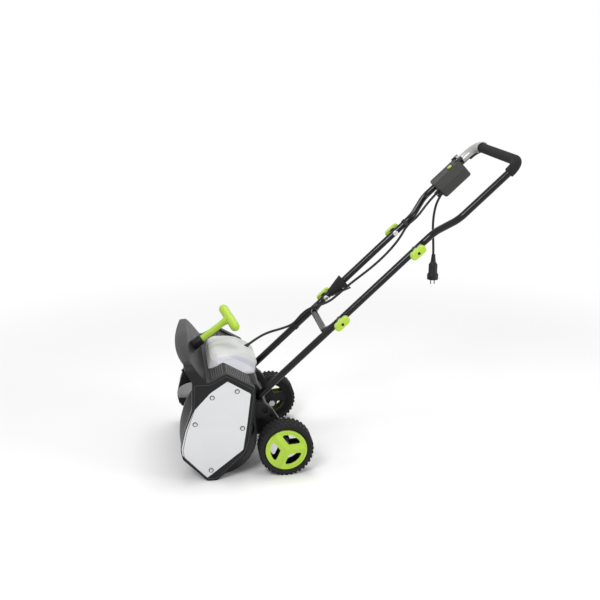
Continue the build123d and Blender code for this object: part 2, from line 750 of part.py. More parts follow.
lower_cable_points = handle_points([
    (-cable_gap / 2, -99, 9), (-34, -99, -6.5), (-64, -101.5, -20.5), (-96, -108.5, -21.5),
    (lower_clip_at, -121, -11.4),
])
lower_cable_points += [(-27, -106.5, 364.5), (18, -75, 365), (58, -43, 358), (94, -18, 342)]
middle_cable_points = handle_points([
    (upper_pivot - cable_gap / 2, -112, 20), (270, -112.5, 27), (222, -112, 29), (172, -112, 27),
    (126, -112, 22), (84, -110, 17), (42, -103, 14), (cable_gap / 2, -99, 9),
])
upper_cable_points = handle_points([
    (527, -170, 12), (490, -169, 13), (450, -150, 12), (404, -118, 10), (upper_clip_at, -116.9, 5.8),
    (upper_pivot + cable_gap / 2, -112, 20),
])
lead_points = [handle_point(527, -150, 18), (-564, -150, 780), (-552.5, -150, 737), (-550, -150, 686)]
lead_points += [(-554, -150, 638), (-556, -150, 592), (-556.5, -150, 560)]
lower_cable = cord(lower_cable_points)
upper_cable = cord(upper_cable_points)
mains_lead = cord(lead_points)
nodes["lower_cable"] = lower_cable
middle_radii = cord_radii(middle_cable_points)
nodes["middle_cable"] = tube(middle_cable_points, middle_radii, cable_radius)
nodes["upper_cable"] = upper_cable
nodes["mains_lead"] = mains_lead
nodes["motor_cover"] -= lower_cable


def clip(s, y, d, cable):
    ring = Pos(y, d) * Circle(cable_radius + clip_wall)
    round_tube = Pos(-tube_half, 0) * Circle(tube_radius + clip_wall)
    face = Plane.YZ * make_hull(ring.edges() + round_tube.edges())
    shape = Pos(s - clip_width / 2, 0, 0) * extrude(face, amount=clip_width, dir=(1, 0, 0))
    bore = Pos(s, -tube_half, 0) * (Rot(0, 90, 0) * Cylinder(tube_radius, 3 * clip_width))
    return on_handle(shape - bore) - cable


nodes["lower_cable_clip"] = clip(lower_clip_at, -121, -11.4, lower_cable)
nodes["upper_cable_clip"] = clip(upper_clip_at, -116.9, 5.8, upper_cable)

# flared cord guide on the inner half of the right leg, its mouth up the handle
guide_low = 18.0
guide_seat = 28.0
guide_high = 84.0
guide_small = 13.0
guide_large = 31.0
guide_wall = 2.0
guide_drop = 6.0


def guide_ring(s, radius, drop):
    return Plane(origin=(s, -tube_half, drop), x_dir=(0, 1, 0), z_dir=(1, 0, 0)) * Circle(radius)


guide = loft([guide_ring(guide_low, guide_small, 0), guide_ring(guide_high, guide_large, guide_drop)])
guide_mouth = guide_ring(guide_high + 1, guide_large - guide_wall, guide_drop)
guide -= loft([guide_ring(guide_seat, tube_radius, 0), guide_mouth])
guide -= Pos(guide_high, -tube_half, 0) * (Rot(0, 90, 0) * Cylinder(tube_radius, 4 * guide_high))
outer_half = Box(4 * guide_high, 4 * guide_large, 8 * guide_large)
guide -= Pos(guide_high, lap_gap / 2 - tube_half - 2 * guide_large, 0) * outer_half
guide = on_handle(guide) - tube(middle_cable_points, middle_radii, cable_radius + cable_gap)
nodes["cord_guide"] = guide

# switch box round the right leg, in two shells
box_mid = (box_low + box_high) / 2
box_centre = -(box_out + box_in) / 2
box_long = box_high - box_low
box_wide = box_out - box_in
box_plan = Pos(box_mid, box_centre) * RectangleRounded(box_long, box_wide, 9)
box_room = Pos(box_mid, box_centre) * RectangleRounded(box_long - 2 * box_wall, box_wide - 2 * box_wall, 6)
leg_bore = Pos(box_mid, -flare_half, 0) * (Rot(0, 90, 0) * Cylinder(tube_radius, 2 * box_long))
base = extrude(Pos(0, 0, box_split) * box_plan, amount=box_bottom - box_split)
base = fillet(base.edges().group_by(Axis.Z)[-1], 7)
base -= extrude(Pos(0, 0, box_split) * box_room, amount=box_bottom - box_split - box_wall)
base -= leg_bore
lid = extrude(Pos(0, 0, box_top) * box_plan, amount=box_split - box_top)
lid = fillet(lid.edges().group_by(Axis.Z)[0], 5)


def box_slope(inset):
    # wedge that takes the inner top edge of the lid away
    high = box_top - 2
    side = 2 - box_in - inset
    points = [(side, high), (side - box_chamfer - 4, high), (side, high + box_chamfer + 4)]
    return Pos(box_low - 1, 0, 0) * extrude(Plane.YZ * outline(points), amount=box_long + 2, dir=(1, 0, 0))


lid -= box_slope(0)
lid_room = extrude(Pos(0, 0, box_top + box_wall) * box_room, amount=box_split - box_top - box_wall)
lid -= lid_room - box_slope(1.4 * box_wall)
lid -= Pos(548, -185, box_top) * Box(34, 44, 1.6)
lid -= Pos(button_s, button_y, box_top) * Cylinder(button_radius + free_gap, 20)
lug_out = -flare_half - 18
lug_in = -flare_half + 18
for y in (lug_out - 3, lug_in + 3):
    ear = Pos(bail_s - 7, y, bail_d) * Box(26, 6, 2 * bail_barrel_radius)
    lid += ear + Pos(bail_s, y, bail_d) * (Rot(90, 0, 0) * Cylinder(bail_barrel_radius, 6))
lid += Pos(bail_s, -flare_half, bail_d) * (Rot(90, 0, 0) * Cylinder(bail_pin_radius, lug_in - lug_out + 2))
lid -= leg_bore
base -= handle_frame.location.inverse() * upper_cable
base -= handle_frame.location.inverse() * mains_lead
nodes["switch_box_base"] = on_handle(base)
nodes["switch_box_cover"] = on_handle(lid)

# lock button with a retaining flange below the lid
button = Pos(button_s, button_y, box_top - button_proud) * Cylinder(button_radius, 14, align=low_align)
button = fillet(button.edges().group_by(Axis.Z)[0], 1.5)
button_flange = Cylinder(button_radius + 3, 2, align=low_align)
button += Pos(button_s, button_y, box_top + box_wall + free_gap) * button_flange
nodes["lock_off_button"] = on_handle(button)

# bail lever: an open channel over the grip, with a hinge barrel at the box
bail_in = foam_radius + bail_gap
bail_out = bail_in + bail_wall
bail_points = [(bail_s + 4, -flare_half, 0), (grip_at, -flare_half, 0)]
bail_points += [(grip_at, bail_reach - flare_half, 0)]
bail = tube(bail_points, [grip_bend], bail_out) - tube(bail_points, [grip_bend], bail_in)
bail -= Pos(grip_at, -flare_half, bail_skirt + 20) * Box(400, 400, 40)
bail_hinge = Pos(bail_s, -flare_half, bail_d) * Rot(90, 0, 0)
bail += bail_hinge * Cylinder(bail_barrel_radius, 2 * 18 - 2 * free_gap)
bail -= bail_hinge * Cylinder(bail_pin_radius + running_fit, 100)
bail -= tube(bail_points, [grip_bend], bail_in)
nodes["bail_lever"] = on_handle(bail)

# strain reliefs at the lower end of the box
glands = []
for y, d, cable in ((-170, 12, upper_cable), (-150, 18, mains_lead)):
    sleeve = Rot(0, 90, 0) * Cone(gland_radius - 1.5, gland_radius, gland_length)
    glands.append(on_handle(Pos(box_low - gland_length / 2, y, d) * sleeve) - cable)
nodes["switch_box_glands"] = Compound(children=glands)

# mains plug hanging on its lead
plug_x, plug_y, _ = lead_points[-1]
plug_profile = [
    (0, 592), (cable_radius + 2, 592), (cable_radius + 5, 566), (plug_body_radius, 556),
    (plug_body_radius, 528), (plug_flange_radius, 522), (plug_flange_radius, 505), (0, 505),
]
plug = revolve(Plane.XZ * outline(plug_profile), axis=Axis.Z)
for x in (-6.3, 6.3):
    plug += Pos(x, 0, 497) * Box(1.6, 6.4, 18)
nodes["mains_plug"] = Pos(plug_x, plug_y, 0) * plug - mains_lead

# set the origin at the bottom centre of everything but the free lead
free_nodes = ("mains_lead", "mains_plug")
boxes = [shape.bounding_box() for name, shape in nodes.items() if name not in free_nodes]
low_x = min(b.min.X for b in boxes)
high_x = max(b.max.X for b in boxes)
low_z = min(b.min.Z for b in boxes)
move = Pos(-(low_x + high_x) / 2, 0, -low_z)
print("moved by", round(-(low_x + high_x) / 2, 3), round(-low_z, 3))
for name, shape in nodes.items():
    export_step(move * shape, "parts/" + name + ".step")
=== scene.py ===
import json
import math

import bmesh
import bpy
from bpy.props import FloatProperty, FloatVectorProperty, IntProperty, PointerProperty
from mathutils import Matrix, Vector


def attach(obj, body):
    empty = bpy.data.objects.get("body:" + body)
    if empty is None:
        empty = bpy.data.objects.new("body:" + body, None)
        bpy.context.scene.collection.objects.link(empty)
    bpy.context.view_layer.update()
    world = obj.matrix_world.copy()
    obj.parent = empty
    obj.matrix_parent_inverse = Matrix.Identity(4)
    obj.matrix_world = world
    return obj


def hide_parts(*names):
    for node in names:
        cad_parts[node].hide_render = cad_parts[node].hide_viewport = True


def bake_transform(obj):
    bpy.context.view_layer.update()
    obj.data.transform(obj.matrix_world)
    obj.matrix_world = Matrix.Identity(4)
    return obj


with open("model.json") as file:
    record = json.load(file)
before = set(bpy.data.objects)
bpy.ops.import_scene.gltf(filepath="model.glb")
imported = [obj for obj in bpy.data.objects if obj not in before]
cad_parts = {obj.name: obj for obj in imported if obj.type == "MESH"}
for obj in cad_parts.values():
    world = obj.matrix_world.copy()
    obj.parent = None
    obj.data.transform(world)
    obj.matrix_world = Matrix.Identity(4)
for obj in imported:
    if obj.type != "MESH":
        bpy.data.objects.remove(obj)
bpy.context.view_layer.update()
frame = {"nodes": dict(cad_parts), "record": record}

bl_info = {
    "name": "Snow Thrower",
    "version": (1, 0, 0),
    "blender": (4, 5, 0),
    "location": "View3D > Sidebar > Snow Thrower",
    "description": "Dresses the packed snow thrower with shapes, finishes and a stage",
    "category": "Object",
}

NODES = frame["nodes"]
BODY_OF = {n: b for b, ns in frame["record"]["behaviour"]["bodies"].items() for n in ns}

JOINTS = {j["name"]: j for j in frame["record"]["behaviour"]["joints"]}

# the wheel axle lies this far in front of the origin
AXLE_X = JOINTS["left_wheel_spin"]["pos_m"][0]
# lower pivot of the handle, seen from the axle, and the slope of the handle
PIVOT = Vector((AXLE_X - 0.1828, 0.0, 0.4611))
HANDLE_SLOPE = math.radians(42.75)
ALONG = Vector((-math.cos(HANDLE_SLOPE), 0.0, math.sin(HANDLE_SLOPE)))
BELOW = Vector((-math.sin(HANDLE_SLOPE), 0.0, -math.cos(HANDLE_SLOPE)))
SIDE = Vector((0.0, 1.0, 0.0))

# line on the flanks of the motor cover where the painted shade above meets a painted lighter band below: a
# point on it from the axle, its rise and its bend
FLANK_SHADE_LINE = {"x": 0.126, "z": 0.3315, "rise": 0.565, "bend": -1.55}
# roof of the housing from front to rear, and the side plate's screws, in millimetres from the axle
ROOF_LINE = [(226, 314), (180, 337), (97, 288)]
SCREW_SPOTS = [(223, 271), (148, 287), (276, 188), (134, 167), (232, 35)]
PANEL_FACE = 242.0
PLATE_FACE = 242.5
ROOF_HALF = 215.0
RIBS_FROM = 120.0
KNOB_FACE = 178.2
# lock button and the exits of the motor cable and the mains lead: along, across and below the handle
BUTTON_AT = (598, -172, -20)
BOX_END = 520
CABLE_EXIT = (-170, 12)
LEAD_EXIT = (-150, 18)


def handle_point(s, y, d):
    """A point given along, across and below the handle, in millimetres."""
    return PIVOT + ALONG * (s / 1000) + SIDE * (y / 1000) + BELOW * (d / 1000)


def axle_point(x, y, z):
    """A point given from the wheel axle on the ground, in millimetres."""
    return Vector((AXLE_X + x / 1000, y / 1000, z / 1000))


def colour(name, text, value):
    return FloatVectorProperty(
        name=name, description=text, subtype="COLOR", size=3, min=0, max=1, default=value
    )


def length(name, text, value):
    return FloatProperty(name=name, description=text, subtype="DISTANCE", unit="LENGTH", default=value)


class ThrowerFinishes(bpy.types.PropertyGroup):
    """Colours of the finishes"""

    black: colour("Black moulding", "Housing, panels, hood and switch box", (0.010, 0.010, 0.011))
    # painted sheen: the roof ribs and the rim beads are the same black plastic as the housing, given this
    # lighter colour so they show light streaks and a highlight line
    ribs: colour("Roof ribs", "Grip ribs on the roof", (0.045, 0.045, 0.043))
    # painted light: the switch box is dark moulding; its lighter, olive tint here stands for the light
    # falling on it
    box: colour("Box moulding", "Switch box", (0.042, 0.043, 0.039))
    tube: colour("Powder coat", "Handle tubes", (0.004, 0.004, 0.0045))
    silver: colour("Silver sheet", "Side plates", (0.64, 0.645, 0.655))
    cover: colour("Silver moulding", "Motor cover", (0.54, 0.55, 0.535))
    # painted shade and light on the motor cover: its side-facing flanks take this darker lavender above
    # the line as shade, and the next colour below the line as the band that catches more light
    flank_painted_shade: colour("Cover flank", "Hollow flanks of the motor cover", (0.42, 0.42, 0.48))
    flank_foot_painted_light: colour("Cover foot", "Foot of the motor cover's flanks", (0.53, 0.525, 0.565))
    lime: colour("Lime moulding", "Hub caps, knobs and chute handle", (0.39, 0.57, 0.05))
    tyre: colour("Tyre", "Tyre rubber", (0.017, 0.017, 0.0168))
    grey: colour("Light grey", "Switch lever", (0.36, 0.36, 0.355))


class ThrowerSizes(bpy.types.PropertyGroup):
    """Sizes of the dressing"""

    edge: length("Edge rounding", "Rounding on moulded edges", 0.0012)
    cable: length("Cable radius", "Radius of the motor cable and the mains lead", 0.004)
    rim_inset: length("Rim bead inset", "Distance of the bead from the edge of a side panel", 0.0055)
    rim_width: length("Rim bead width", "Width of the bead round the side panels", 0.0022)
    rib_pitch: length("Roof rib pitch", "Distance between the grip ribs on the roof", 0.0072)
    gland_ribs: IntProperty(
        name="Gland ribs", description="Ribs on each strain relief", default=5, min=2, max=9
    )


def finishes():
    return bpy.context.scene.thrower_finishes


def sizes():
    return bpy.context.scene.thrower_sizes


# finishes


def link(tree, a, out, b, into):
    tree.links.new(a.outputs[out], b.inputs[into])


def finish(name, base, rough, grain, depth, metal=0.0, shine=0.5, tint=0.12, cells=False):
    """A moulded, painted or metal surface: speckled colour, uneven gloss and a fine grain.

    A finish is made once and then found by its name, so the name is none of the frame's own materials.
    """
    if name in bpy.data.materials:
        return bpy.data.materials[name]
    mat = bpy.data.materials.new(name)
    mat.use_nodes = True
    tree = mat.node_tree
    shader = tree.nodes["Principled BSDF"]
    shader.inputs["Metallic"].default_value = metal
    shader.inputs["Specular IOR Level"].default_value = shine
    place = tree.nodes.new("ShaderNodeTexCoord")
    cloud = tree.nodes.new("ShaderNodeTexNoise")
    cloud.inputs["Scale"].default_value = 14.0
    cloud.inputs["Detail"].default_value = 6.0
    link(tree, place, "Object", cloud, "Vector")
    ramp = tree.nodes.new("ShaderNodeMix")
    ramp.data_type = "RGBA"
    ramp.inputs["A"].default_value = (*[c * (1 - tint) for c in base], 1)
    ramp.inputs["B"].default_value = (*[min(1.0, c * (1 + tint)) for c in base], 1)
    link(tree, cloud, "Fac", ramp, "Factor")
    tree.links.new(ramp.outputs["Result"], shader.inputs["Base Color"])
    gloss = tree.nodes.new("ShaderNodeMapRange")
    gloss.inputs["To Min"].default_value = max(0.05, rough - 0.07)
    gloss.inputs["To Max"].default_value = min(1.0, rough + 0.07)
    link(tree, cloud, "Fac", gloss, "Value")
    link(tree, gloss, "Result", shader, "Roughness")
    if cells:
        fine = tree.nodes.new("ShaderNodeTexVoronoi")
        fine.inputs["Scale"].default_value = 1.0 / grain
        height = "Distance"
    else:
        fine = tree.nodes.new("ShaderNodeTexNoise")
        fine.inputs["Scale"].default_value = 1.0 / grain
        fine.inputs["Detail"].default_value = 3.0
        height = "Fac"
    link(tree, place, "Object", fine, "Vector")
    bump = tree.nodes.new("ShaderNodeBump")
    bump.inputs["Strength"].default_value = 0.6
    bump.inputs["Distance"].default_value = depth
    link(tree, fine, height, bump, "Height")
    link(tree, bump, "Normal", shader, "Normal")
    return mat


def moulding():
    return finish("black_moulding", finishes().black, 0.4, 0.0011, 0.0001, shine=0.2)


def grained_moulding():
    return finish("black_grained_moulding", finishes().black, 0.45, 0.0022, 0.0006, shine=0.22, cells=True)


def box_moulding():
    return finish("box_moulding", finishes().box, 0.5, 0.0009, 0.00006, shine=0.15, cells=True)


def powder_coat():
    return finish("black_powder_coat", finishes().tube, 0.14, 0.0009, 0.00001, shine=0.3)


def lime_moulding():
    return finish("lime_moulding", finishes().lime, 0.36, 0.0012, 0.00002, shine=0.35, tint=0.06)


def zinc():
    return finish("zinc_plate", (0.62, 0.62, 0.61), 0.28, 0.0006, 0.00002, metal=1.0)


def cover_moulding_painted_shade():
    """Silver moulding with painted shade on its flanks: faces turned sideways take a darker lavender above
    a line that falls to the rear, and a lighter painted band below it.
    """
    if "silver_moulding" in bpy.data.materials:
        return bpy.data.materials["silver_moulding"]
    mat = finish("silver_moulding", finishes().cover, 0.38, 0.0014, 0.00004, tint=0.03)
    tree = mat.node_tree
    shader = tree.nodes["Principled BSDF"]
    top = shader.inputs["Base Color"].links[0].from_socket
    place = tree.nodes.new("ShaderNodeTexCoord")
    split = tree.nodes.new("ShaderNodeSeparateXYZ")
    link(tree, place, "Object", split, "Vector")

    def value(operation, a, b):
        node = tree.nodes.new("ShaderNodeMath")
        node.operation = operation
        for socket, given in zip(node.inputs, (a, b)):
            if isinstance(given, float):
                socket.default_value = given
            else:
                tree.links.new(given, socket)
        return node.outputs[0]

    ahead = value("SUBTRACT", split.outputs["X"], AXLE_X + FLANK_SHADE_LINE["x"])
    bend = value("MULTIPLY", value("MULTIPLY", ahead, ahead), FLANK_SHADE_LINE["bend"])
    rise = value("ADD", value("MULTIPLY", ahead, FLANK_SHADE_LINE["rise"]), bend)
    above = value("SUBTRACT", value("SUBTRACT", split.outputs["Z"], FLANK_SHADE_LINE["z"]), rise)
    # above the line the flanks take the painted shade, below it the painted lighter band
    upper = tree.nodes.new("ShaderNodeMapRange")
    upper.interpolation_type = "SMOOTHSTEP"
    upper.inputs["From Min"].default_value = -0.0006
    upper.inputs["From Max"].default_value = 0.0006
    tree.links.new(above, upper.inputs["Value"])
    # painted shade: the flank colours go on by how far a face turns sideways, not by any real part line
    facing = tree.nodes.new("ShaderNodeNewGeometry")
    turned = tree.nodes.new("ShaderNodeSeparateXYZ")
    link(tree, facing, "True Normal", turned, "Vector")
    flank = tree.nodes.new("ShaderNodeMapRange")
    flank.interpolation_type = "SMOOTHSTEP"
    flank.inputs["From Min"].default_value = 0.42
    flank.inputs["From Max"].default_value = 0.72
    tree.links.new(value("ABSOLUTE", turned.outputs["Y"], 0.0), flank.inputs["Value"])
    side = tree.nodes.new("ShaderNodeMix")
    side.data_type = "RGBA"
    side.inputs["A"].default_value = (*finishes().flank_foot_painted_light, 1)
    side.inputs["B"].default_value = (*finishes().flank_painted_shade, 1)
    link(tree, upper, "Result", side, "Factor")
    tone = tree.nodes.new("ShaderNodeMix")
    tone.data_type = "RGBA"
    tree.links.new(top, tone.inputs["A"])
    link(tree, side, "Result", tone, "B")
    link(tree, flank, "Result", tone, "Factor")
    link(tree, tone, "Result", shader, "Base Color")
    return mat


def cable_sheath():
    return finish("cable_sheath", (0.012, 0.012, 0.013), 0.45, 0.0007, 0.00005, shine=0.2)


# shapes


def show(mesh, name, body, material, node=None):
    """Adds a mesh as a piece that rides on a body, and stands for a node where one is named."""
    piece = bpy.data.objects.new(name, mesh)
    bpy.context.scene.collection.objects.link(piece)
    mesh.materials.clear()
    mesh.materials.append(material)
    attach(piece, body)
    if node:
        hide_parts(node)
    return piece


def smooth(mesh, angle=32):
    mesh.polygons.foreach_set("use_smooth", [True] * len(mesh.polygons))
    mesh.set_sharp_from_angle(angle=math.radians(angle))
    mesh.update()


def clean_copy(node):
    """A node's surface as joined flat faces, ready for rounding."""
    bm = bmesh.new()
    bm.from_mesh(NODES[node].data)
    bmesh.ops.remove_doubles(bm, verts=bm.verts, dist=2e-6)
    bmesh.ops.dissolve_limit(bm, angle_limit=math.radians(0.4), verts=bm.verts, edges=bm.edges)
    return bm


def rounded(node, width, material, segments=2, sharp=34, shape=None):
    """A node with its moulded edges rounded, each point then moved by a shape where one is given."""
    bm = clean_copy(node)
    edges = [e for e in bm.edges if len(e.link_faces) == 2 and e.calc_face_angle(0) > math.radians(sharp)]
    bmesh.ops.bevel(
        bm, geom=edges, offset=width, segments=segments, profile=0.6, affect="EDGES", clamp_overlap=True
    )
    bmesh.ops.triangulate(bm, faces=[f for f in bm.faces if len(f.verts) > 4])
    if shape:
        for vert in bm.verts:
            vert.co = shape(vert.co)
    mesh = bpy.data.meshes.new(node + "_form")
    bm.to_mesh(mesh)
    bm.free()
    smooth(mesh)
    return show(mesh, mesh.name, BODY_OF[node], material, node)


def melted(node, voxel, passes, material):
    """A node with its joints run together, as a soft moulded grip."""
    source = NODES[node].data.copy()
    bm = bmesh.new()
    bm.from_mesh(source)
    bmesh.ops.remove_doubles(bm, verts=bm.verts, dist=2e-6)
    bm.to_mesh(source)
    bm.free()
    helper = bpy.data.objects.new("helper", source)
    bpy.context.scene.collection.objects.link(helper)
    remesh = helper.modifiers.new("remesh", "REMESH")
    remesh.mode = "VOXEL"
    remesh.voxel_size = voxel
    relax = helper.modifiers.new("relax", "SMOOTH")
    relax.iterations = passes
    relax.factor = 0.5
    graph = bpy.context.evaluated_depsgraph_get()
    mesh = bpy.data.meshes.new_from_object(helper.evaluated_get(graph))
    bpy.data.objects.remove(helper)
    mesh.name = node + "_form"
    smooth(mesh, 60)
    return show(mesh, mesh.name, BODY_OF[node], material, node)


def coat(node, material):
    """Keeps a node's own shape and gives it a finish."""
    data = NODES[node].data
    data.materials.clear()
    data.materials.append(material)
    smooth(data)


def lathe(bm, profile, at, axis, steps=40, ring_only=False):
    """Adds a turned form: profile pairs of distance along the axis and radius, in metres."""
    turn = Vector((0, 0, 1)).rotation_difference(Vector(axis)).to_matrix().to_4x4()
    place = Matrix.Translation(at) @ turn
    rings = []
    for along, radius in profile:
        ring = []
        for i in range(steps):
            angle = 2 * math.pi * i / steps
            spot = Vector((radius * math.cos(angle), radius * math.sin(angle), along))
            ring.append(bm.verts.new(place @ spot))
        rings.append(ring)
    if ring_only:
        rings.append(rings[0])
    for low, high in zip(rings, rings[1:]):
        for i in range(steps):
            j = (i + 1) % steps
            bm.faces.new((low[i], low[j], high[j], high[i]))
    if not ring_only:
        bm.faces.new(list(reversed(rings[0])))
        bm.faces.new(rings[-1])


def mesh_of(bm, name, angle=50):
    bmesh.ops.recalc_face_normals(bm, faces=bm.faces)
    mesh = bpy.data.meshes.new(name)
    bm.to_mesh(mesh)
    bm.free()
    smooth(mesh, angle)
    return mesh


def outer_loop(node, face_y):
    """The outer edge of a side panel's flat outer face, as points in order."""
    bm = clean_copy(node)
    flat = {f for f in bm.faces if all(abs(abs(v.co.y) - face_y) < 1e-5 for v in f.verts)}
    follow = {}
    for edge in bm.edges:
        touching = [f for f in edge.link_faces if f in flat]
        if len(touching) == 1:
            for a, b in (edge.verts, reversed(edge.verts)):
                follow.setdefault(a.index, []).append(b.index)
    spots = {v.index: v.co.copy() for v in bm.verts}
    bm.free()
    loops = []
    waiting = set(follow)
    while waiting:
        start = waiting.pop()
        loop = [start]
        while True:
            ahead = [i for i in follow[loop[-1]] if i in waiting]
            if not ahead:
                break
            loop.append(ahead[0])
            waiting.discard(ahead[0])
        loops.append([spots[i] for i in loop])
    return max(loops, key=lambda loop: max(p.z for p in loop) - min(p.z for p in loop))


def inset_line(loop, distance):
    """A closed line in the XZ plane moved inwards by a distance."""
    turn = sum(a.x * b.z - b.x * a.z for a, b in zip(loop, loop[1:] + loop[:1]))
    sign = 1 if turn > 0 else -1
    moved = []
    for before, at, after in zip(loop[-1:] + loop[:-1], loop, loop[1:] + loop[:1]):
        first = Vector((at.x - before.x, 0, at.z - before.z)).normalized()
        second = Vector((after.x - at.x, 0, after.z - at.z)).normalized()
        inward = Vector((-(first.z + second.z), 0, first.x + second.x)) * sign
        inward.normalize()
        across = Vector((-first.z, 0, first.x)) * sign
        moved.append(at + inward * (distance / max(0.5, inward.dot(across))))
    return moved


def route_curve(name, points, radius):
    """One smooth line through the neighbourhood of its points."""
    data = bpy.data.curves.new(name, "CURVE")
    data.dimensions = "3D"
    data.resolution_u = 10
    data.bevel_depth = radius
    data.bevel_resolution = 5
    data.use_fill_caps = True
    spline = data.splines.new("NURBS")
    spline.points.add(len(points) - 1)
    for control, point in zip(spline.points, points):
        control.co = (*point, 1.0)
    spline.order_u = 3
    spline.use_endpoint_u = True
    piece = bpy.data.objects.new(name, data)
    bpy.context.scene.collection.objects.link(piece)
    return piece


def curve_mesh(piece, name):
    graph = bpy.context.evaluated_depsgraph_get()
    mesh = bpy.data.meshes.new_from_object(piece.evaluated_get(graph))
    mesh.name = name
    return mesh


# operators, one for each piece or group of like pieces


class ThrowerStep(bpy.types.Operator):
    bl_options = {"REGISTER", "UNDO"}


class SNOW_OT_housing(ThrowerStep):
    """Rounds and finishes the auger housing, side panels, plates, hood and rear housing"""

    bl_idname = "snow.housing"
    bl_label = "Housing"

    # section of a roof rib along and above the roof, and of a dark ring of painted shade round a screw,
    # along and out from the screw
    RIB_SECTION = ((-0.0022, -0.0004), (-0.0008, 0.0016), (0.0008, 0.0016), (0.0022, -0.0004))
    SHADE_RING_SECTION = ((-0.0002, 0.0050), (-0.0002, 0.0076), (0.0007, 0.0072), (0.0004, 0.0056))
    # section of the rim bead: share of its width, and height above the panel
    BEAD_SECTION = ((0, -0.0003), (0.3, 0.0012), (0.7, 0.0012), (1, -0.0003))

    def execute(self, context):
        edge = sizes().edge
        rounded("auger_housing", edge, grained_moulding())
        self.roof_ribs()
        self.screw_seats()
        for side in ("left", "right"):
            rounded(side + "_side_panel", edge, moulding())
            self.rim_bead(side)
            plate = finish("silver_sheet", finishes().silver, 0.42, 0.0016, 0.00002, metal=0.25, tint=0.03)
            rounded(side + "_side_plate", 0.0008, plate)
            rounded(side + "_wheel_arm", edge, moulding())
        coat("side_plate_screws", zinc())
        rounded("hood", 0.0016, moulding(), segments=3)
        rounded("rear_housing", edge, moulding())
        rounded("scraper_bar", edge, moulding())
        coat("shaft_bearings", zinc())
        return {"FINISHED"}

    def rim_bead(self, side):
        """A low bead that follows the edge of a side panel."""
        loop = outer_loop(side + "_side_panel", PANEL_FACE / 1000)
        out = 1 if side == "left" else -1
        inset, width = sizes().rim_inset, sizes().rim_width
        bm = bmesh.new()
        rows = []
        for distance, proud in self.BEAD_SECTION:
            row = inset_line(loop, inset + distance * width)
            rows.append([bm.verts.new((p.x, out * (PANEL_FACE / 1000 + proud), p.z)) for p in row])
        rows.append(rows[0])
        count = len(loop)
        for low, high in zip(rows, rows[1:]):
            for i in range(count):
                j = (i + 1) % count
                bm.faces.new((low[i], low[j], high[j], high[i]))
        # painted highlight: the bead takes the lighter rib colour so its top shows as a light line
        bead = finish("rim_bead", finishes().ribs, 0.28, 0.0011, 0.00008, shine=0.5)
        show(mesh_of(bm, side + "_rim_bead", 20), side + "_rim_bead", "chassis", bead)

    def roof_ribs(self):
        """Fine grip ribs across the roof, on either side of the motor cover."""
        bm = bmesh.new()
        pitch = sizes().rib_pitch * 1000
        for (x0, z0), (x1, z1) in zip(ROOF_LINE, ROOF_LINE[1:]):
            run = math.hypot(x1 - x0, z1 - z0)
            along = Vector(((x1 - x0) / run, 0, (z1 - z0) / run))
            up = Vector((along.z, 0, -along.x))
            if up.z < 0:
                up = -up
            for i in range(1, int(run / pitch)):
                foot = axle_point(x0, 0, z0) + along * (i * pitch / 1000)
                for side in (-1, 1):
                    ends = []
                    for y in (side * RIBS_FROM / 1000, side * ROOF_HALF / 1000):
                        ring = [foot + along * a + up * b + SIDE * y for a, b in self.RIB_SECTION]
                        ends.append([bm.verts.new(p) for p in ring])
                    for a in range(4):
                        b = (a + 1) % 4
                        bm.faces.new((ends[0][a], ends[0][b], ends[1][b], ends[1][a]))
                    bm.faces.new(ends[0])
                    bm.faces.new(list(reversed(ends[1])))
        # painted sheen: the ribs take a lighter colour than the black roof so they show as light streaks
        ribs = finish("grip_ribs", finishes().ribs, 0.3, 0.0016, 0.0003, shine=0.5)
        show(mesh_of(bm, "roof_ribs", 20), "roof_ribs", "chassis", ribs)

    def screw_seats(self):
        """Dark dished rings of black moulding round the screws of the side plates, as painted shade round
        each screw head.
        """
        bm = bmesh.new()
        for out in (-1, 1):
            for x, z in SCREW_SPOTS:
                at = axle_point(x, out * PLATE_FACE, z)
                lathe(bm, self.SHADE_RING_SECTION, at, SIDE * out, ring_only=True)
        show(mesh_of(bm, "screw_seats"), "screw_seats", "chassis", moulding())


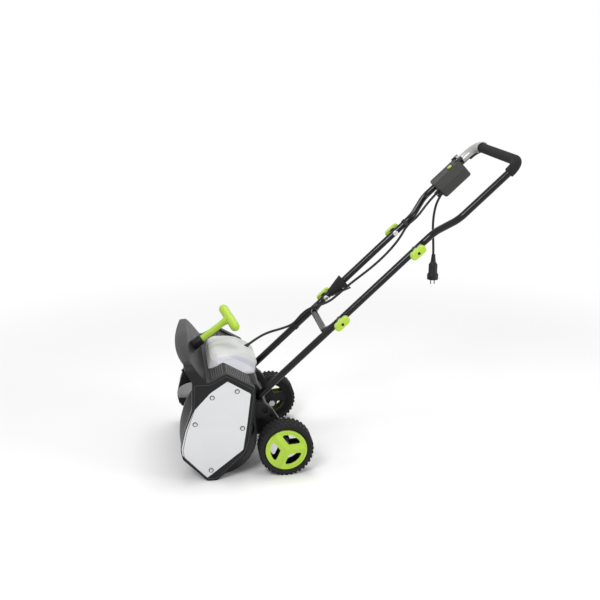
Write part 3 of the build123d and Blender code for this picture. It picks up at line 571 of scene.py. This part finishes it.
class SNOW_OT_motor(ThrowerStep):
    """Finishes the motor, its belt drive and its cover"""

    bl_idname = "snow.motor"
    bl_label = "Motor and Cover"

    # height over which the walls lean in, the lean, the drop of the top and of the back, in millimetres
    LEAN_HEIGHT = 55
    LEAN = 0.27
    LEAN_MOST = 1.2
    TOP_DROP = 7
    BACK_FROM = 122
    BACK_DROP = 0.2
    # the liner's width beside the cover's, and how far it lies below it
    LINER_WIDTH = 0.983
    LINER_BELOW = 0.0009

    def execute(self, context):
        cover = rounded("motor_cover", 0.0012, cover_moulding_painted_shade(), sharp=62, shape=self.draft)
        self.liner(cover.data)
        steel = finish("motor_can", (0.25, 0.25, 0.26), 0.4, 0.001, 0.00004, metal=0.9)
        coat("motor_body", steel)
        coat("motor_shaft", zinc())
        coat("driven_pulley", moulding())
        coat("drive_belt", cable_sheath())
        return {"FINISHED"}

    def liner(self, cover):
        """A second skin just inside the cover, which closes the hairlines along its shoulders."""
        mesh = cover.copy()
        mesh.name = "motor_cover_liner"
        for vert in mesh.vertices:
            vert.co = (vert.co.x, vert.co.y * self.LINER_WIDTH, vert.co.z - self.LINER_BELOW)
        show(mesh, mesh.name, BODY_OF["motor_cover"], cover_moulding_painted_shade())

    def draft(self, point):
        """Leans the cover's walls in and rounds its back off, from the roof upwards."""
        x, z = (point.x - AXLE_X) * 1000, point.z * 1000
        front, ridge, rear = ROOF_LINE
        low, high = (front, ridge) if x > ridge[0] else (ridge, rear)
        roof = low[1] + (high[1] - low[1]) * (x - low[0]) / (high[0] - low[0])
        share = min(self.LEAN_MOST, max(0.0, (z - roof) / self.LEAN_HEIGHT))
        drop = self.TOP_DROP * share + self.BACK_DROP * max(0.0, self.BACK_FROM - x) * share
        return Vector((point.x, point.y * (1 - self.LEAN * share), point.z - drop / 1000))


class SNOW_OT_auger(ThrowerStep):
    """Finishes the auger"""

    bl_idname = "snow.auger"
    bl_label = "Auger"

    def execute(self, context):
        paddle = finish("grey_paddle", (0.22, 0.22, 0.225), 0.5, 0.002, 0.0002)
        coat("auger_paddles", paddle)
        coat("auger_shaft", zinc())
        return {"FINISHED"}


class SNOW_OT_wheels(ThrowerStep):
    """Finishes the wheels and their axles"""

    bl_idname = "snow.wheels"
    bl_label = "Wheels"

    def execute(self, context):
        tyre = finish("tyre_tread", finishes().tyre, 0.7, 0.0016, 0.0002, shine=0.12)
        for side in ("left", "right"):
            rounded(side + "_tyre", 0.0009, tyre, segments=1)
            rounded(side + "_rim", sizes().edge, moulding())
            rounded(side + "_hub_cap", 0.0014, lime_moulding(), segments=3)
        coat("axle_bolts", zinc())
        return {"FINISHED"}


class SNOW_OT_chute(ThrowerStep):
    """Shapes the chute handle, its socket and the vanes"""

    bl_idname = "snow.chute"
    bl_label = "Chute Control"

    def execute(self, context):
        melted("chute_handle", 0.0011, 14, lime_moulding())
        rounded("handle_socket", 0.0015, moulding())
        for node in ("outer_left", "inner_left", "inner_right", "outer_right", "centre"):
            rounded(node + "_vane", 0.0005, moulding())
        rounded("tie_bar", 0.0006, moulding())
        return {"FINISHED"}


class SNOW_OT_handle(ThrowerStep):
    """Finishes the handle tubes, foam grip, bolts, saddles and knobs"""

    bl_idname = "snow.handle"
    bl_label = "Handle"

    def execute(self, context):
        for node in ("left_lower_tube", "right_lower_tube", "middle_handle", "upper_handle"):
            coat(node, powder_coat())
        foam = finish("grip_foam", (0.016, 0.016, 0.016), 0.85, 0.0009, 0.0002, shine=0.15, cells=True)
        rounded("foam_grip", 0.003, foam, segments=3)
        for level in ("lower", "upper"):
            coat(level + "_pivot_bolts", zinc())
            rounded(level + "_knob_saddles", 0.001, moulding())
            for side in ("left", "right"):
                knob = side + "_" + level + "_knob"
                melted(knob, 0.0009, 8, lime_moulding())
                self.bolt_end(knob, level, 1 if side == "left" else -1)
        rounded("cord_guide", 0.0008, moulding())
        return {"FINISHED"}

    def bolt_end(self, knob, level, out):
        """The dark bolt end in the face of a knob."""
        at = JOINTS["middle_fold" if level == "lower" else "upper_fold"]["pos_m"]
        bm = bmesh.new()
        lathe(bm, [(-0.002, 0.0044), (0.0006, 0.0044), (0.0010, 0.0038)],
              Vector((at[0], out * KNOB_FACE / 1000, at[2])), SIDE * out, steps=24)
        name = knob + "_bolt_end"
        show(mesh_of(bm, name), name, BODY_OF[knob], moulding())


class SNOW_OT_switch(ThrowerStep):
    """Shapes the switch box, its lever and lock button, and the ring round the button"""

    bl_idname = "snow.switch"
    bl_label = "Switch Box"

    def execute(self, context):
        rounded("switch_box_base", 0.0018, box_moulding(), segments=3)
        rounded("switch_box_cover", 0.0018, box_moulding(), segments=3)
        rounded("lock_off_button", 0.001, lime_moulding())
        lever = finish("grey_lever", finishes().grey, 0.32, 0.0012, 0.00001, metal=0.35, tint=0.02)
        rounded("bail_lever", 0.0008, lever)
        self.bezel()
        return {"FINISHED"}

    def bezel(self):
        """A raised ring round the lock button."""
        bm = bmesh.new()
        ring = [(-0.0006, 0.0090), (0.0014, 0.0092), (0.0018, 0.0100), (0.0014, 0.0112), (-0.0006, 0.0118)]
        lathe(bm, ring, handle_point(*BUTTON_AT), -BELOW, ring_only=True)
        show(mesh_of(bm, "button_bezel"), "button_bezel", "upper_frame", box_moulding())


class SNOW_OT_cables(ThrowerStep):
    """Lays the motor cable along the handle and hangs the mains lead"""

    bl_idname = "snow.cables"
    bl_label = "Cables"

    LOWER = [
        (-0.8, -99, 9), (-34, -99, -6.5), (-64, -101.5, -20.5), (-96, -108.5, -21.5), (-141, -121, -11.4),
    ]
    TO_COVER = [(-27, -106.5, 364.5), (18, -75, 365), (58, -43, 358), (94, -18, 342)]
    MIDDLE = [
        (315, -112, 20), (270, -112.5, 27), (222, -112, 29), (172, -112, 27), (126, -112, 22),
        (84, -110, 17), (42, -103, 14),
    ]
    UPPER = [(527, -170, 12), (490, -169, 13), (450, -150, 12), (404, -118, 10), (362, -116.9, 5.8)]
    LEAD = [
        (-564, -150, 780), (-552.5, -150, 737), (-550, -150, 686), (-554, -150, 638), (-556, -150, 592),
        (-556.5, -150, 560),
    ]
    # where the motor cable is cut in two, and the stretches that cross the folds, along the handle
    CUT_AT = 150
    UPPER_BEND = (292, 340)
    LOWER_BEND = (-24, 24)
    # the lead starts this far along the handle
    LEAD_FROM = 527
    # sleeve of a strain relief in metres: first rib, ribbed length, radius, taper, rib height, end
    SLEEVE_FROM = 0.002
    SLEEVE_RIBBED = 0.016
    SLEEVE_RADIUS = 0.0070
    SLEEVE_TAPER = 0.0014
    SLEEVE_RIB = 0.0011
    SLEEVE_END = (0.018, 0.0048)

    def execute(self, context):
        route = [handle_point(*p) for p in self.UPPER + self.MIDDLE + self.LOWER]
        route += [axle_point(*p) for p in self.TO_COVER]
        line = route_curve("cable_line", route, sizes().cable)
        whole = curve_mesh(line, "cable_whole")
        bpy.data.objects.remove(line)
        cut = handle_point(self.CUT_AT, 0, 0)
        self.part(whole, "motor_cable_upper", cut, ALONG, ("middle_frame", "upper_frame"),
                  self.UPPER_BEND, ("upper_cable",))
        self.part(whole, "motor_cable_lower", cut, -ALONG, ("chassis", "middle_frame"),
                  self.LOWER_BEND, ("middle_cable", "lower_cable"))
        bpy.data.meshes.remove(whole)
        for node in ("lower_cable_clip", "upper_cable_clip"):
            rounded(node, 0.0006, moulding())
        self.lead()
        return {"FINISHED"}

    def part(self, whole, name, cut, keep, bodies, span, nodes):
        """The stretch of cable on one side of a cut."""
        bm = bmesh.new()
        bm.from_mesh(whole)
        geometry = list(bm.verts) + list(bm.edges) + list(bm.faces)
        bmesh.ops.bisect_plane(bm, geom=geometry, plane_co=cut, plane_no=keep, clear_inner=True)
        mesh = bpy.data.meshes.new(name)
        bm.to_mesh(mesh)
        bm.free()
        smooth(mesh, 60)
        mesh.materials.clear()
        mesh.materials.append(cable_sheath())
        piece = bpy.data.objects.new(name, mesh)
        bpy.context.scene.collection.objects.link(piece)
        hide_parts(*nodes)
        handle_point(span[0], 0, 0)
        handle_point(span[1], 0, 0)
        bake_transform(piece)

    def lead(self):
        """The hanging mains lead with its plug and the strain reliefs of the box."""
        exit_point = handle_point(self.LEAD_FROM, *LEAD_EXIT)
        route = [exit_point] + [axle_point(*p) for p in self.LEAD]
        lead = route_curve("mains_lead_cord", route, sizes().cable)
        lead.data.materials.append(cable_sheath())
        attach(lead, "upper_frame")
        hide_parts("mains_lead")
        plug = rounded("mains_plug", 0.0012, cable_sheath())
        self.strain_reliefs()
        self.cover_boot()

    def cover_boot(self):
        """The boot where the cable goes into the motor cover."""
        inner, outer = axle_point(*self.TO_COVER[-1]), axle_point(*self.TO_COVER[-2])
        bm = bmesh.new()
        profile = [(-0.012, 0.0062), (-0.001, 0.0062), (0.001, 0.0056), (0.008, 0.0050), (0.009, 0.0042)]
        lathe(bm, profile, inner, (outer - inner).normalized())
        show(mesh_of(bm, "cover_boot"), "cover_boot", "chassis", cable_sheath())

    def strain_reliefs(self):
        """Ribbed sleeves where the two cables leave the box."""
        bm = bmesh.new()
        count = sizes().gland_ribs
        step = self.SLEEVE_RIBBED / count
        for y, d in (CABLE_EXIT, LEAD_EXIT):
            profile = [(0.0, self.SLEEVE_RADIUS)]
            for i in range(count):
                low = self.SLEEVE_FROM + self.SLEEVE_RIBBED * i / count
                wide = self.SLEEVE_RADIUS - self.SLEEVE_TAPER * i / count
                narrow = wide - self.SLEEVE_RIB
                profile += [(low, wide), (low + 0.55 * step, wide)]
                profile += [(low + 0.65 * step, narrow), (low + 0.95 * step, narrow)]
            profile.append(self.SLEEVE_END)
            lathe(bm, profile, handle_point(BOX_END, y, d), -ALONG)
        mesh = mesh_of(bm, "strain_reliefs", 40)
        show(mesh, "strain_reliefs", "upper_frame", cable_sheath(), "switch_box_glands")


class SNOW_OT_stage(ThrowerStep):
    """Sets the floor, the soft studio light and the camera"""

    bl_idname = "snow.stage"
    bl_label = "Stage"

    CAMERA_AT = (347, 2891, 1333)
    CAMERA_RIGHT = (-0.9894, 0.1451, 0.0)
    CAMERA_UP = (-0.0401, -0.2734, 0.9611)
    CAMERA_AHEAD = (-0.1394, -0.9509, -0.2763)
    LENS = 57.0

    def execute(self, context):
        scene = context.scene
        scene.view_settings.view_transform = "Standard"
        self.floor(scene)
        self.world(scene)
        for name, at, aim, size, power in (
            ("key", (1.6, 2.6, 3.0), (0.1, 0, 0.4), 1.3, 66),
            ("fill", (-2.6, 1.8, 1.6), (0, 0, 0.5), 1.2, 22),
            ("top", (0.0, -0.6, 3.4), (0, 0, 0.3), 1.6, 46),
            ("low", (-2.2, 1.0, 0.35), (-0.25, 0, 0.7), 0.6, 10),
        ):
            lamp = bpy.data.lights.new(name, "AREA")
            lamp.shape = "SQUARE"
            lamp.size = size
            lamp.energy = power
            thing = bpy.data.objects.new(name, lamp)
            scene.collection.objects.link(thing)
            thing.location = at
            thing.rotation_euler = (Vector(aim) - Vector(at)).to_track_quat("-Z", "Y").to_euler()
        camera = bpy.data.cameras.new("camera")
        camera.lens = self.LENS
        camera.sensor_width = 36.0
        camera.clip_end = 100
        thing = bpy.data.objects.new("camera", camera)
        scene.collection.objects.link(thing)
        basis = Matrix((self.CAMERA_RIGHT, self.CAMERA_UP, -Vector(self.CAMERA_AHEAD))).transposed()
        thing.matrix_world = Matrix.Translation(axle_point(*self.CAMERA_AT)) @ basis.to_4x4()
        scene.camera = thing
        return {"FINISHED"}

    def floor(self, scene):
        mesh = bpy.data.meshes.new("floor")
        mesh.from_pydata([(-30, -30, 0), (30, -30, 0), (30, 30, 0), (-30, 30, 0)], [], [(0, 1, 2, 3)])
        floor = bpy.data.objects.new("floor", mesh)
        scene.collection.objects.link(floor)
        mat = bpy.data.materials.new("floor_paper")
        mat.use_nodes = True
        tree = mat.node_tree
        paper = tree.nodes["Principled BSDF"]
        paper.inputs["Base Color"].default_value = (0.9, 0.9, 0.9, 1)
        paper.inputs["Roughness"].default_value = 0.9
        glow = tree.nodes.new("ShaderNodeEmission")
        glow.inputs["Strength"].default_value = 1.0
        place = tree.nodes.new("ShaderNodeTexCoord")
        far = tree.nodes.new("ShaderNodeVectorMath")
        far.operation = "LENGTH"
        link(tree, place, "Object", far, 0)
        fade = tree.nodes.new("ShaderNodeMapRange")
        fade.interpolation_type = "SMOOTHSTEP"
        fade.inputs["From Min"].default_value = 0.9
        fade.inputs["From Max"].default_value = 2.4
        tree.links.new(far.outputs["Value"], fade.inputs["Value"])
        mix = tree.nodes.new("ShaderNodeMixShader")
        link(tree, fade, "Result", mix, 0)
        tree.links.new(paper.outputs[0], mix.inputs[1])
        tree.links.new(glow.outputs[0], mix.inputs[2])
        tree.links.new(mix.outputs[0], tree.nodes["Material Output"].inputs["Surface"])
        mesh.materials.append(mat)

    def world(self, scene):
        world = bpy.data.worlds.new("studio")
        scene.world = world
        world.use_nodes = True
        tree = world.node_tree
        soft = tree.nodes["Background"]
        soft.inputs["Color"].default_value = (1, 1, 1, 1)
        soft.inputs["Strength"].default_value = 0.5
        white = tree.nodes.new("ShaderNodeBackground")
        white.inputs["Color"].default_value = (1, 1, 1, 1)
        rays = tree.nodes.new("ShaderNodeLightPath")
        either = tree.nodes.new("ShaderNodeMath")
        either.operation = "MAXIMUM"
        link(tree, rays, "Is Camera Ray", either, 0)
        link(tree, rays, "Is Glossy Ray", either, 1)
        any_ray = tree.nodes.new("ShaderNodeMath")
        any_ray.operation = "MAXIMUM"
        link(tree, either, "Value", any_ray, 0)
        link(tree, rays, "Is Transmission Ray", any_ray, 1)
        mix = tree.nodes.new("ShaderNodeMixShader")
        link(tree, any_ray, "Value", mix, 0)
        tree.links.new(soft.outputs[0], mix.inputs[1])
        tree.links.new(white.outputs[0], mix.inputs[2])
        tree.links.new(mix.outputs[0], tree.nodes["World Output"].inputs["Surface"])


STEPS = (
    SNOW_OT_housing, SNOW_OT_motor, SNOW_OT_auger, SNOW_OT_wheels, SNOW_OT_chute,
    SNOW_OT_handle, SNOW_OT_switch, SNOW_OT_cables, SNOW_OT_stage,
)


class SNOW_PT_panel(bpy.types.Panel):
    """Lists the steps in order"""

    bl_idname = "SNOW_PT_panel"
    bl_label = "Snow Thrower"
    bl_space_type = "VIEW_3D"
    bl_region_type = "UI"
    bl_category = "Snow Thrower"

    def draw(self, context):
        for group in (context.scene.thrower_finishes, context.scene.thrower_sizes):
            for key in group.__annotations__:
                self.layout.prop(group, key)
        for step in STEPS:
            self.layout.operator(step.bl_idname)


CLASSES = (ThrowerFinishes, ThrowerSizes) + STEPS + (SNOW_PT_panel,)


def register():
    for cls in CLASSES:
        bpy.utils.register_class(cls)
    bpy.types.Scene.thrower_finishes = PointerProperty(type=ThrowerFinishes)
    bpy.types.Scene.thrower_sizes = PointerProperty(type=ThrowerSizes)


def unregister():
    del bpy.types.Scene.thrower_sizes
    del bpy.types.Scene.thrower_finishes
    for cls in reversed(CLASSES):
        bpy.utils.unregister_class(cls)


def main():
    register()
    bpy.ops.snow.housing()
    bpy.ops.snow.motor()
    bpy.ops.snow.auger()
    bpy.ops.snow.wheels()
    bpy.ops.snow.chute()
    bpy.ops.snow.handle()
    bpy.ops.snow.switch()
    bpy.ops.snow.cables()
    bpy.ops.snow.stage()


if __name__ == "__main__":
    main()
